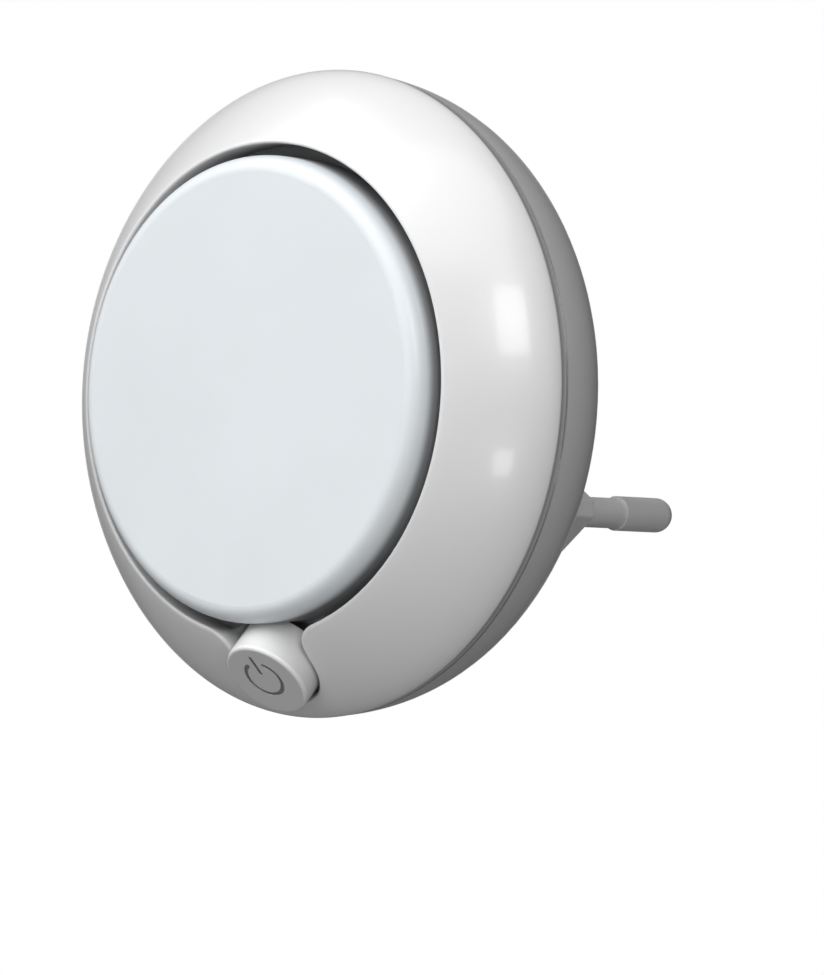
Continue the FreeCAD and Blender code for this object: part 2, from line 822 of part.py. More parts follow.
def arc_from(start, way, end):
    """The arc between two points that leaves the first along a direction."""
    chord = end - start
    lean = way.getAngle(chord)
    side = way.cross(chord).cross(chord).normalize()
    middle = start + chord * 0.5 - side * (chord.Length / 2 * math.tan(lean / 2))
    return Part.Arc(start, middle, end).toShape()


def coil_arcs(low, high):
    """The coil as two touching arcs for each quarter turn."""
    quarters = 4 * spring_turns
    rise = (high - low) / (2 * math.pi * spring_turns)
    edges = []
    for quarter in range(quarters):
        start, leave = coil_place(math.pi / 2 * quarter, low, rise)
        end, arrive = coil_place(math.pi / 2 * (quarter + 1), low, rise)
        chord = end - start
        square = 2 * (1 - leave.dot(arrive))
        along = 2 * chord.dot(leave + arrive)
        reach = (math.sqrt(along * along + 4 * square * chord.dot(chord)) - along) / (2 * square)
        first = start + leave * reach
        last = end - arrive * reach
        middle = (first + last) * 0.5
        edges.append(arc_from(start, leave, middle))
        edges.append(arc_from(middle, (last - first).normalize(), end))
    return edges


def make_switch_spring():
    """The coil spring under the plunger, one unbroken wire."""
    front = -switch_front_below_face
    low = front - switch_depth + switch_wall + spring_wire / 2 + touch_gap
    high = front - switch_wall - touch_gap - switch_plunger_flange - spring_wire / 2 - touch_gap
    edges = coil_arcs(low, high)
    start, way = coil_place(0.0, low, (high - low) / (2 * math.pi * spring_turns))
    pipe = Part.BRepOffsetAPI.MakePipeShell(Part.Wire(edges))
    pipe.add(Part.Wire(Part.makeCircle(spring_wire / 2, start, way)))
    pipe.build()
    pipe.makeSolid()
    return tilted(pipe.shape())


def leg_places():
    """X and V of the six legs of the push switch."""
    return [(side * switch_leg_pitch, row * switch_leg_pitch) for side in (-1, 1) for row in (-1, 0, 1)]


def make_switch_legs():
    """The metal legs of the push switch, through its board."""
    back = switch_back_w
    low = back - switch_board_wall - switch_leg_tail
    return Part.makeCompound([tilted(post(switch_leg_radius, low, back, x, v)) for x, v in leg_places()])


def make_switch_board():
    """The small slanted board that carries the push switch."""
    low = -switch_width / 2 - switch_board_below
    high = switch_width / 2 + switch_board_above
    board = Part.makeBox(
        switch_board_width, high - low, switch_board_wall,
        Vector(-switch_board_width / 2, low, switch_back_w - switch_board_wall))
    for x, v in leg_places():
        board = board.cut(post(switch_leg_radius + touch_gap, switch_back_w - 2, switch_back_w + 1, x, v))
    return tilted(board)


def make_switch_bracket():
    """The wedge on the plug's flange that holds the switch board at its slant."""
    back_w = switch_back_w - switch_board_wall - touch_gap
    on_line = button_origin + button_axis * back_w
    total = on_line.y * math.cos(tilt) + on_line.z * math.sin(tilt)

    def slant_y(z):
        return (total - z * math.sin(tilt)) / math.cos(tilt)

    rear = plug_flange_y - touch_gap
    high = -bracket_top_drop - bracket_back_wall
    corners = [
        (rear, -bracket_foot_drop), (slant_y(-bracket_foot_drop), -bracket_foot_drop),
        (slant_y(high), high), (slant_y(high) + bracket_back_wall, -bracket_top_drop),
        (rear, -bracket_top_drop)]
    outline = Part.makePolygon([Vector(-bracket_half_width, y, z) for y, z in corners + corners[:1]])
    wedge = Part.Face(outline).extrude(Vector(2 * bracket_half_width, 0, 0))
    room = switch_leg_pitch + 2 * switch_leg_radius + free_gap
    depth = switch_leg_tail + free_gap
    pocket = Part.makeBox(2 * room, 2 * room, depth + 1, Vector(-room, -room, back_w - depth))
    return wedge.cut(tilted(pocket))


def bent_tube(points, radius):
    """A wire along straight runs joined by arcs that touch them."""
    edges = []
    start = points[0]
    for before, corner, after in zip(points, points[1:], points[2:]):
        into = (corner - before).normalize()
        away = (after - corner).normalize()
        half = into.getAngle(away) / 2
        run = min((corner - before).Length, (after - corner).Length)
        bend = bend_share * run / math.tan(half)
        first = corner - into * bend_share * run
        last = corner + away * bend_share * run
        side = (away - into).normalize()
        middle = corner + side * (bend / math.cos(half) - bend)
        edges.append(Part.makeLine(start, first))
        edges.append(Part.Arc(first, middle, last).toShape())
        start = last
        print("wire bend radius", round(bend, 2))
    edges.append(Part.makeLine(start, points[-1]))
    ring = Part.Wire(Part.makeCircle(radius, points[0], points[1] - points[0]))
    return Part.Wire(edges).makePipeShell([ring], True, True)


def make_switch_wires():
    """The two wires from the switch board up to the driver board."""
    axis_w = switch_back_w + wire_radius + touch_gap
    low_v = switch_width / 2 + free_gap
    wires = []
    for x in (-wire_spacing / 2, wire_spacing / 2):
        begin = button_origin + button_axis * axis_w + button_up * low_v + Vector(x, 0, 0)
        rise = begin + button_up * wire_rise
        turn = Vector(x, wire_turn_y, -wire_end_drop)
        end = Vector(x, board_front_y - touch_gap, -wire_end_drop)
        wires.append(bent_tube([begin, rise, turn, end], wire_radius))
    return Part.makeCompound(wires)


def make_screw(shank, head, head_height, length, x, z, seat_y, forward):
    """A cross-slot screw whose head rests at seat_y and whose shank runs along Y."""
    sign = -1.0 if forward else 1.0
    low = min(seat_y, seat_y + sign * length)
    body = rod(shank, low, low + length, x, z)
    cap_low = seat_y if forward else seat_y - head_height
    top = rod(head, cap_low, cap_low + head_height, x, z)
    outer_y = seat_y - sign * head_height
    top = round_edges(top, head_height * head_round_share, lambda edge: abs(edge.BoundBox.YMin - outer_y) < touch_gap
                      and edge.BoundBox.YLength < touch_gap)
    reach = 2 * cross_reach_share * head
    slot = block((reach, 2 * cross_depth, cross_width), (x, outer_y, z))
    slot = slot.fuse(block((cross_width, 2 * cross_depth, reach), (x, outer_y, z)))
    return body.fuse(top).cut(slot)


def make_case_screws():
    """The screws that hold the rear shell to the front shell."""
    seat = case_seat_y + case_seat_wall
    return Part.makeCompound([
        make_screw(case_screw_radius, case_head_radius, case_head_height, case_screw_length, x, z, seat, True)
        for x, z in case_places()])


def small_screws(places, seat_y, length, forward):
    """A group of the small screws inside."""
    return Part.makeCompound([
        make_screw(small_screw_radius, small_head_radius, small_head_height, length, x, z, seat_y, forward)
        for x, z in places])


# Places that the parts above share
lap_radius = seam_radius - rear_wall - seam_band_step
case_seat_y = front_depth + case_boss_length
board_pilot_end = board_back_y + small_screw_bite
collar_foot_w = lug_w + touch_gap
lug_room_radius = math.hypot(button_radius + button_lug_reach, button_lug_width) + free_gap
keyhole_low_w = -switch_front_below_face
switch_back_w = -switch_front_below_face - switch_depth


def make_parts():
    """Fills the table of named solids, still in the body's own place."""
    solids["front_shell"] = make_front_shell()
    solids["rear_shell"] = make_rear_shell()
    solids["diffuser"] = make_diffuser()
    solids["reflector_tray"] = make_reflector_tray()
    solids["led_board"] = make_led_board()
    solids["led_packages"], solids["led_phosphors"] = make_leds()
    solids["plug_insert"] = make_plug_insert()
    for side, x in zip(("left", "right"), pin_places()):
        solids["contact_pin_" + side] = make_pin(x)
        solids["pin_sleeve_" + side] = make_sleeve(x)
        solids["pin_terminal_" + side] = make_terminal(x)
    solids["driver_board"] = make_driver_board()
    solids["film_capacitor"] = on_board(film_cap_size, film_cap_place)
    solids["smoothing_capacitor"] = make_smoothing_capacitor()
    solids["bridge_rectifier"] = on_board(rectifier_size, rectifier_place)
    solids["fuse_resistor"] = make_fuse_resistor()
    solids["chip_resistors"] = make_chip_resistors()
    solids["link_header"] = make_link_header()
    solids["link_pins"] = make_link_pins()
    solids["button_cap"] = make_button_cap()
    solids["switch_housing"] = make_switch_housing()
    solids["switch_plunger"] = make_switch_plunger()
    solids["switch_spring"] = make_switch_spring()
    solids["switch_legs"] = make_switch_legs()
    solids["switch_board"] = make_switch_board()
    solids["switch_bracket"] = make_switch_bracket()
    solids["switch_wires"] = make_switch_wires()
    solids["case_screws"] = make_case_screws()
    tray_length = ear_wall + small_screw_bite
    solids["tray_screws"] = small_screws(ear_places(), ear_front + ear_wall, tray_length, True)
    led_length = led_board_wall + led_board_gap + tray_flange_wall
    solids["led_board_screws"] = small_screws(led_screw_places(), led_board_back_y, led_length, True)
    board_length = board_wall + small_screw_bite - touch_gap
    solids["board_screws"] = small_screws(board_posts, board_front_y, board_length, False)


def write_parts():
    """Moves every part so that the origin is on the plug's face, and writes it."""
    os.makedirs("parts", exist_ok=True)
    for name, shape in solids.items():
        shape.translate(Vector(0, -plug_face_y, pin_drop))
        shape.exportStep("parts/" + name + ".step")
        print(name, len(shape.Solids), "valid" if shape.isValid() else "NOT VALID", round(shape.Volume, 2))


make_parts()
write_parts()
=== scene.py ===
import math

import bmesh
import bpy
from mathutils import Matrix, Vector


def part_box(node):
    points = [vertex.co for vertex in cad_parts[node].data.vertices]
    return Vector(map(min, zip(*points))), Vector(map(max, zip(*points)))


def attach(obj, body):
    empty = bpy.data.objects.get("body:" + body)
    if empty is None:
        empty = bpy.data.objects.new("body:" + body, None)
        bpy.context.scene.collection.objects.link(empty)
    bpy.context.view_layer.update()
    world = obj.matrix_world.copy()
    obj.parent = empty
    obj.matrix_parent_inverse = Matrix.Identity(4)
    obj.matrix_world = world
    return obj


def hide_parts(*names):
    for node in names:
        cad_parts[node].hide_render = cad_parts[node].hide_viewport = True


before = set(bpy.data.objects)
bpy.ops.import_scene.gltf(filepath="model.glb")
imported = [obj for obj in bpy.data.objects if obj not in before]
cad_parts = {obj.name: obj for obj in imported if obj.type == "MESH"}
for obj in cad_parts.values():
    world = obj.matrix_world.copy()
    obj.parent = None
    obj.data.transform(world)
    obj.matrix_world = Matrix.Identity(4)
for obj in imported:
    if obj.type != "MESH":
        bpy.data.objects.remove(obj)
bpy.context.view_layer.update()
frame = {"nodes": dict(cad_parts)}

bl_info = {
    "name": "Plug-in night light",
    "version": (1, 0, 0),
    "blender": (4, 5, 0),
    "location": "3D View > Sidebar > Night light",
    "description": "Dresses the plug-in night light and sets its studio",
    "category": "Object",
}

MM = 0.001

# How finely the front shell is drawn. The first four follow the edge of the opening from the
# bottom to the top, and the others run from its inner wall over the dome and back inside.
HOLE_STEPS = 30
NECK_STEPS = 9
SHOULDER_STEPS = 20
MOUTH_STEPS = 140
WALL_STEPS = 4
EDGE_STEPS = 8
DOME_STEPS = 40
INNER_STEPS = 8
HALVINGS = 40

# Near the keyhole the columns of the front shell are drawn apart towards the seam.
EVEN_PULL = 0.55
EVEN_REACH = 1.6

# The studio lamps: name, place from the middle of the mouth, size in metres, and watts.
LAMPS = (
    ("top_left", (-0.30, -0.42, 0.60), (0.7, 0.6), 4.4),
    ("top_right", (0.23, -0.40, 0.655), (0.7, 0.6), 2.35),
    ("front", (0.0, -0.85, -0.04), (0.5, 0.5), 1.28),
    ("strip", (0.584, -0.394, 0.257), (0.20, 0.26), 1.55),
    ("low", (0.2155, -0.151, -0.096), (0.04, 0.035), 0.045),
    ("left", (-0.80, -0.20, 0.20), (0.4, 0.5), 0.35),
    ("right", (0.80, -0.10, 0.10), (0.3, 0.4), 0.15),
    ("back_right", (0.60, 0.50, 0.10), (0.3, 0.4), 0.08),
    ("back_left", (-0.60, 0.70, 0.05), (0.5, 0.5), 0.45))
WORLD_LIGHT = 0.035
FLOOR_HALF = 0.55
FLOOR_DROP = 0.12
FLOOR_GREY = (0.22, 0.22, 0.22)
FLOOR_SEEN = (0.82, 0.82, 0.82)

# The camera: where it stands round the point it looks at, and its lens.
CAMERA_AZIMUTH = math.radians(43.03)
CAMERA_ELEVATION = math.radians(-2.77)
CAMERA_DISTANCE = 0.62169
CAMERA_AIM = (23.14, 0.0, -11.55)
CAMERA_SENSOR = 36.0
CAMERA_NEAR = 0.01
FOCAL_PIXELS = 5810.35
PICTURE_HEIGHT = 975.0

# Colour and roughness of the plastic, lacquered and board pieces inside.
INNER_PLASTICS = {
    "reflector_tray": ((0.86, 0.86, 0.84), 0.5), "led_board": ((0.82, 0.83, 0.81), 0.4),
    "led_packages": ((0.84, 0.83, 0.79), 0.45), "led_phosphors": ((0.90, 0.70, 0.16), 0.4),
    "driver_board": ((0.05, 0.16, 0.06), 0.35), "switch_board": ((0.05, 0.16, 0.06), 0.35),
    "film_capacitor": ((0.62, 0.44, 0.06), 0.4), "smoothing_capacitor": ((0.02, 0.02, 0.03), 0.3),
    "bridge_rectifier": ((0.02, 0.02, 0.02), 0.45), "chip_resistors": ((0.02, 0.02, 0.02), 0.4),
    "fuse_resistor": ((0.16, 0.30, 0.42), 0.35), "link_header": ((0.02, 0.02, 0.02), 0.45),
    "switch_housing": ((0.02, 0.02, 0.02), 0.4), "switch_plunger": ((0.74, 0.73, 0.70), 0.45),
    "switch_bracket": ((0.74, 0.73, 0.70), 0.45), "switch_wires": ((0.45, 0.02, 0.015), 0.4)}

# Colour and roughness of the metal pieces inside.
INNER_METALS = {
    "pin_terminal_left": ((0.62, 0.46, 0.18), 0.3), "pin_terminal_right": ((0.62, 0.46, 0.18), 0.3),
    "link_pins": ((0.60, 0.60, 0.58), 0.25), "switch_legs": ((0.60, 0.60, 0.58), 0.25),
    "switch_spring": ((0.50, 0.50, 0.50), 0.25), "case_screws": ((0.50, 0.50, 0.51), 0.32),
    "tray_screws": ((0.50, 0.50, 0.51), 0.32), "led_board_screws": ((0.50, 0.50, 0.51), 0.32),
    "board_screws": ((0.50, 0.50, 0.51), 0.32)}


class Sock:
    """A shader socket that can be used in Python expressions."""

    def __init__(self, tree, socket):
        self.tree = tree
        self.socket = socket

    def maths(self, operation, *values):
        """One Math node."""
        return self.tree.node("ShaderNodeMath", {"operation": operation}, dict(enumerate(values)))

    def __add__(self, other):
        return self.maths("ADD", self, other)

    __radd__ = __add__

    def __sub__(self, other):
        return self.maths("SUBTRACT", self, other)

    def __rsub__(self, other):
        return self.maths("SUBTRACT", other, self)

    def __mul__(self, other):
        return self.maths("MULTIPLY", self, other)

    __rmul__ = __mul__

    def above(self, edge, soft):
        """0 below an edge and 1 above it, with a soft step."""
        settings = {"interpolation_type": "SMOOTHSTEP"}
        values = {"Value": self, "From Min": edge - soft, "From Max": edge + soft}
        return self.tree.node("ShaderNodeMapRange", settings, values)


class Finish:
    """A material and its node tree, with one Principled shader."""

    def __init__(self, name):
        self.material = bpy.data.materials.new(name)
        self.material.use_nodes = True
        self.nodes = self.material.node_tree.nodes
        self.links = self.material.node_tree.links
        self.nodes.clear()
        self.shader = self.nodes.new("ShaderNodeBsdfPrincipled")
        output = self.nodes.new("ShaderNodeOutputMaterial")
        self.links.new(self.shader.outputs[0], output.inputs[0])

    def node(self, kind, settings=None, values=None, output=0):
        """Adds a node: its settings first, then the values or links of its sockets."""
        made = self.nodes.new(kind)
        for key, value in (settings or {}).items():
            setattr(made, key, value)
        for key, value in (values or {}).items():
            self.feed(made.inputs[key], value)
        return Sock(self, made.outputs[output])

    def feed(self, socket, value):
        """Links a wrapped socket to an input, or sets the input's own value."""
        if isinstance(value, Sock):
            self.links.new(value.socket, socket)
        else:
            socket.default_value = value

    def set(self, **values):
        """Feeds the shader's sockets; an underscore in a name stands for a space."""
        for key, value in values.items():
            self.feed(self.shader.inputs[key.replace("_", " ")], value)
        return self

    def place(self):
        """The point in the object's own coordinates, in metres."""
        return self.node("ShaderNodeTexCoord", output=3)

    def axis(self, name):
        """One coordinate of the point."""
        return self.node("ShaderNodeSeparateXYZ", values={0: self.place()}, output="XYZ".index(name))

    def noise(self, size, detail=2.0, place=None):
        """Even noise about 0.5, whose blotches are about a size in metres."""
        values = {"Vector": place or self.place(), "Scale": 1.0 / size, "Detail": detail}
        return self.node("ShaderNodeTexNoise", values=values)

    def mix(self, share, first, second):
        """A colour between two, by a share."""
        values = {0: share, 6: first, 7: second}
        return self.node("ShaderNodeMix", {"data_type": "RGBA"}, values, output=2)

    def bump(self, height, depth):
        """A normal from a height, with the depth in metres."""
        return self.node("ShaderNodeBump", values={"Height": height, "Distance": depth})

    def tint(self, share, colour):
        """Mixes another colour into the shader's own, by a share."""
        base = Sock(self, self.shader.inputs["Base Color"].links[0].from_socket)
        return self.set(Base_Color=self.mix(share, base, rgba(colour)))


def rgba(colour, gain=1.0):
    """A colour with its alpha, made lighter or darker."""
    return tuple(min(1.0, channel * gain) for channel in colour[:3]) + (1.0,)


def moulded(
        name, colour, rough, coat=0.0, blotch=20 * MM, grain=0.6 * MM, grain_depth=0.004 * MM, spread=0.03):
    """Moulded plastic: slight colour and gloss changes, and a fine skin."""
    gloss_change, coat_rough = 0.35, 0.08
    finish = Finish(name)
    cloud = finish.noise(blotch, 3.0)
    fine = finish.noise(grain)
    tone = finish.mix(cloud, rgba(colour, 1.0 - spread), rgba(colour, 1.0 + spread))
    gloss = rough + (cloud - 0.5) * (rough * gloss_change)
    return finish.set(
        Base_Color=tone, Roughness=gloss, Coat_Weight=coat, Coat_Roughness=coat_rough,
        Normal=finish.bump(fine, grain_depth))


def metal(name, colour, rough, metallic=1.0):
    """Plated metal: drawn streaks along Y in its gloss, and fine scuffs."""
    streak, stretch, streak_depth, cloud_size = 0.4 * MM, 0.08, 0.003 * MM, 4 * MM
    darkest, lightest, streak_change, cloud_change = 0.93, 1.05, 0.5, 0.06
    finish = Finish(name)
    stretched = finish.node("ShaderNodeMapping", values={0: finish.place(), 3: (1.0, stretch, 1.0)})
    lines = finish.noise(streak, 3.0, stretched)
    cloud = finish.noise(cloud_size)
    tone = finish.mix(cloud, rgba(colour, darkest), rgba(colour, lightest))
    gloss = rough + (lines - 0.5) * (rough * streak_change) + (cloud - 0.5) * cloud_change
    return finish.set(
        Base_Color=tone, Metallic=metallic, Roughness=gloss, Normal=finish.bump(lines, streak_depth))


class NightLightSizes(bpy.types.PropertyGroup):
    """The sizes of the front shell that this scene draws itself."""

    mouth_radius: bpy.props.FloatProperty(
        name="Mouth radius", description="Radius of the opening round the panel",
        default=27.1 * MM, unit="LENGTH")
    seam_radius: bpy.props.FloatProperty(
        name="Seam radius", description="Widest radius of the body",
        default=36.0 * MM, unit="LENGTH")
    front_depth: bpy.props.FloatProperty(
        name="Front depth", description="From the mouth back to the seam",
        default=10.7 * MM, unit="LENGTH")
    mouth_slope: bpy.props.FloatProperty(
        name="Mouth slope", description="Lean of the dome at the mouth",
        default=math.radians(16.0), subtype="ANGLE")
    mouth_pull: bpy.props.FloatProperty(
        name="Mouth pull", description="How far the dome keeps its lean at the mouth",
        default=1.0 * MM, unit="LENGTH")
    seam_pull: bpy.props.FloatProperty(
        name="Seam pull", description="How far the dome keeps its draft at the seam",
        default=3.3 * MM, unit="LENGTH")
    draft: bpy.props.FloatProperty(
        name="Draft", description="Lean of the dome at the seam",
        default=math.radians(4.2), subtype="ANGLE")
    seam_band: bpy.props.FloatProperty(
        name="Seam band", description="Width of the plain band at the seam",
        default=1.0 * MM, unit="LENGTH")
    band_step: bpy.props.FloatProperty(
        name="Band step", description="How far the band is set in",
        default=0.12 * MM, unit="LENGTH")
    seam_bevel: bpy.props.FloatProperty(
        name="Seam bevel", description="Bevel of the edge at the seam",
        default=0.14 * MM, unit="LENGTH")
    wall: bpy.props.FloatProperty(
        name="Wall", description="Thickness of the shell",
        default=2.0 * MM, unit="LENGTH")
    mouth_depth: bpy.props.FloatProperty(
        name="Mouth depth", description="Depth of the wall round the mouth",
        default=4.0 * MM, unit="LENGTH")
    edge_round: bpy.props.FloatProperty(
        name="Edge round", description="Size of the rounded edge of the mouth",
        default=0.5 * MM, unit="LENGTH")
    hole_radius: bpy.props.FloatProperty(
        name="Button hole", description="Radius of the hole round the button",
        default=5.45 * MM, unit="LENGTH")
    shoulder: bpy.props.FloatProperty(
        name="Shoulder", description="Radius between the mouth and the neck",
        default=3.2 * MM, unit="LENGTH")
    button_tilt: bpy.props.FloatProperty(
        name="Button tilt", description="How far the button leans down",
        default=math.radians(45.0), subtype="ANGLE")
    button_y: bpy.props.FloatProperty(
        name="Button depth", description="From the mouth to the middle of the button's face",
        default=1.26 * MM, unit="LENGTH")
    button_drop: bpy.props.FloatProperty(
        name="Button drop", description="From the disc's axis down to the button's face",
        default=31.99 * MM, unit="LENGTH")
    collar_depth: bpy.props.FloatProperty(
        name="Collar depth", description="Depth of the wall round the button",
        default=4.5 * MM, unit="LENGTH")


class NightLightColours(bpy.types.PropertyGroup):
    """The colours of what shows."""

    case: bpy.props.FloatVectorProperty(
        name="Case", description="Gloss white case",
        default=(0.86, 0.86, 0.86), subtype="COLOR", min=0, max=1)
    panel: bpy.props.FloatVectorProperty(
        name="Panel", description="Frosted panel",
        default=(0.87, 0.915, 0.945), subtype="COLOR", min=0, max=1)
    # Painted shade: this grey darkens the panel's upper rim, which takes less light at the top.
    edge: bpy.props.FloatVectorProperty(
        name="Panel edge", description="Grey of the panel's upper edge",
        default=(0.45, 0.48, 0.52), subtype="COLOR", min=0, max=1)
    # Painted shade: this grey is laid deep in the gaps, on the mouth's inner wall and groove, on the panel's
    # side wall and along the seam line.
    gap: bpy.props.FloatVectorProperty(
        name="Gap", description="Grey deep in the gaps",
        default=(0.20, 0.20, 0.205), subtype="COLOR", min=0, max=1)
    button: bpy.props.FloatVectorProperty(
        name="Button", description="Satin button",
        default=(0.76, 0.76, 0.76), subtype="COLOR", min=0, max=1)
    # Painted highlight, not wear: this near white on the button's bevel stands in for the light the bevel
    # catches.
    bevel: bpy.props.FloatVectorProperty(
        name="Button bevel", description="Worn bevel round the button's face",
        default=(0.97, 0.97, 0.97), subtype="COLOR", min=0, max=1)
    symbol: bpy.props.FloatVectorProperty(
        name="Symbol", description="Power symbol",
        default=(0.30, 0.30, 0.31), subtype="COLOR", min=0, max=1)
    plug: bpy.props.FloatVectorProperty(
        name="Plug", description="Plug body",
        default=(0.72, 0.72, 0.72), subtype="COLOR", min=0, max=1)
    sleeve: bpy.props.FloatVectorProperty(
        name="Sleeve", description="Pin sleeves",
        default=(0.62, 0.62, 0.62), subtype="COLOR", min=0, max=1)
    pin: bpy.props.FloatVectorProperty(
        name="Pin", description="Plated pins",
        default=(0.80, 0.80, 0.80), subtype="COLOR", min=0, max=1)


def sizes():
    """The scene's size settings."""
    return bpy.context.scene.night_light_sizes


def colours():
    """The scene's colour settings."""
    return bpy.context.scene.night_light_colours


def axis_place():
    """Where the disc's axis meets the plane of the mouth, from the front shell's box."""
    low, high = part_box("front_shell")
    return Vector(((low.x + high.x) / 2, low.y, (low.z + high.z) / 2))


def halve(low, high, holds):
    """Closes in on the place between two values where a test stops holding."""
    for step in range(HALVINGS):
        middle = (low + high) / 2
        if holds(middle):
            low = middle
        else:
            high = middle
    return low


def turned(radius, y, angle):
    """A point at a radius and depth, turned about Y from straight down."""
    return Vector((radius * math.sin(angle), y, -radius * math.cos(angle)))


class Dome:
    """The front shell's outer surface, turned about Y, and its keyhole."""

    def __init__(self, size):
        self.size = size
        self.rim_y = size.front_depth - size.seam_band
        self.poles = (
            (size.mouth_radius, 0.0),
            (size.mouth_radius + size.mouth_pull * math.cos(size.mouth_slope),
             size.mouth_pull * math.sin(size.mouth_slope)),
            (size.seam_radius - size.seam_pull * math.sin(size.draft),
             self.rim_y - size.seam_pull * math.cos(size.draft)),
            (size.seam_radius, self.rim_y))
        tilt = size.button_tilt
        self.inward = Vector((0.0, math.cos(tilt), math.sin(tilt)))
        self.up = Vector((0.0, -math.sin(tilt), math.cos(tilt)))
        self.button = Vector((0.0, size.button_y, -size.button_drop))

    def profile(self, t):
        """Radius and depth at a share of the way from the mouth to the seam."""
        weights = ((1 - t) ** 3, 3 * t * (1 - t) ** 2, 3 * t * t * (1 - t), t ** 3)
        return tuple(sum(w * pole[axis] for w, pole in zip(weights, self.poles)) for axis in (0, 1))

    def share(self, radius):
        """How far from the mouth to the seam a radius lies."""
        return halve(0.0, 1.0, lambda t: self.profile(t)[0] < radius)

    def depth(self, radius):
        """Depth of the dome at a radius."""
        return self.profile(self.share(radius))[1]

    def in_front(self, point):
        """Whether a point is in front of the dome."""
        return point.y < self.depth(math.hypot(point.x, point.z))

    def on_dome(self, x, z):
        """The point of the dome at an x and z."""
        return Vector((x, self.depth(math.hypot(x, z)), z))

    def normal(self, point):
        """The outward normal of the dome, from its slope."""
        radius = math.hypot(point.x, point.z)
        small = 0.02 * MM
        radius = min(max(radius, self.size.mouth_radius + small), self.size.seam_radius - 2 * small)
        rise = (self.depth(radius + small) - self.depth(radius - small)) / (2 * small)
        flat = Vector((point.x, 0.0, point.z)).normalized()
        return (flat * rise - Vector((0.0, 1.0, 0.0))).normalized()

    def from_button(self, x, v):
        """Where a line along the button's axis meets the dome."""
        reach = 12.0 * MM
        start = self.button + self.up * v + Vector((x, 0.0, 0.0))
        way = halve(-reach, reach, lambda way: self.in_front(start + self.inward * way))
        return start + self.inward * way

    def shoulder_touch(self):
        """The shoulder's middle height, and the mouth's angle where it touches."""
        size = self.size
        shrink = math.sin(size.button_tilt)

        def slant(turn):
            return math.hypot(shrink * math.sin(turn), math.cos(turn))

        def too_near(turn):
            reach = size.mouth_radius + size.shoulder * shrink / slant(turn)
            return reach * math.sin(turn) < size.hole_radius + size.shoulder

        turn = halve(0.0, math.pi / 2, too_near)
        height = -(size.mouth_radius * shrink + size.shoulder / slant(turn)) * math.cos(turn)
        return height - self.button.dot(self.up), turn

    def half_loop(self):
        """The right half of the edge of the opening, from the bottom to the top.

        Each entry is a point on the dome and how far its wall has turned from the
        button's axis (0) to the disc's axis (1).
        """
        size = self.size
        middle_v, turn = self.shoulder_touch()
        points = []
        for step in range(HOLE_STEPS):
            angle = -math.pi / 2 + (math.pi / 2) * step / HOLE_STEPS
            x, v = size.hole_radius * math.cos(angle), size.hole_radius * math.sin(angle)
            points.append((self.from_button(x, v), 0.0))
        for step in range(NECK_STEPS):
            points.append((self.from_button(size.hole_radius, middle_v * step / NECK_STEPS), 0.0))
        middle_x = size.hole_radius + size.shoulder
        mouth_v = -size.mouth_radius * math.sin(size.button_tilt) * math.cos(turn)
        touch_v = mouth_v - self.button.dot(self.up)
        touch_x = size.mouth_radius * math.sin(turn)
        last = math.atan2(touch_v - middle_v, touch_x - middle_x)
        for step in range(SHOULDER_STEPS):
            share = step / SHOULDER_STEPS
            angle = math.pi + (last - math.pi) * share
            x, v = middle_x + size.shoulder * math.cos(angle), middle_v + size.shoulder * math.sin(angle)
            points.append((self.from_button(x, v), share * share * (3 - 2 * share)))
        for step in range(MOUTH_STEPS + 1):
            angle = turn + (math.pi - turn) * step / MOUTH_STEPS
            points.append((turned(size.mouth_radius, 0.0, angle), 1.0))
        return points

    def seam_lines(self):
        """Radius and depth of the band's groove, the seam's bevel and the inner face."""
        size = self.size
        band = size.seam_radius - size.band_step
        return (
            (size.seam_radius, self.rim_y), (band, self.rim_y + size.band_step),
            (band, size.front_depth - size.seam_bevel), (band - size.seam_bevel, size.front_depth),
            (band - size.wall, size.front_depth))


def mirrored(points):
    """The whole loop from its right half, going on down the left side."""
    left = [(Vector((-point.x, point.y, point.z)), share) for point, share in points[-2:0:-1]]
    return points + left


def way_out(dome, loop, number):
    """From a point of the loop, the way along the dome and away from the opening."""
    near_middle = 0.01 * MM
    edge, share = loop[number]
    along = (loop[(number + 1) % len(loop)][0] - loop[number - 1][0]).normalized()
    away = along.cross(dome.normal(edge))
    if away.dot(edge - dome.button if share < 1.0 else edge) < 0:
        away = -away
    if share < 1.0 and (away.x < 0) != (edge.x < 0) and abs(edge.x) > near_middle:
        away = -away
    return away


def even_angles(loop):
    """For each point of the loop, the angle that spaces the points evenly round the seam."""
    lengths = [0.0]
    for (before, _), (after, _) in zip(loop, loop[1:]):
        lengths.append(lengths[-1] + (after - before).length)
    total = lengths[-1] + (loop[0][0] - loop[-1][0]).length
    angles = [2 * math.pi * length / total for length in lengths]
    return [angle - 2 * math.pi if angle > math.pi else angle for angle in angles]


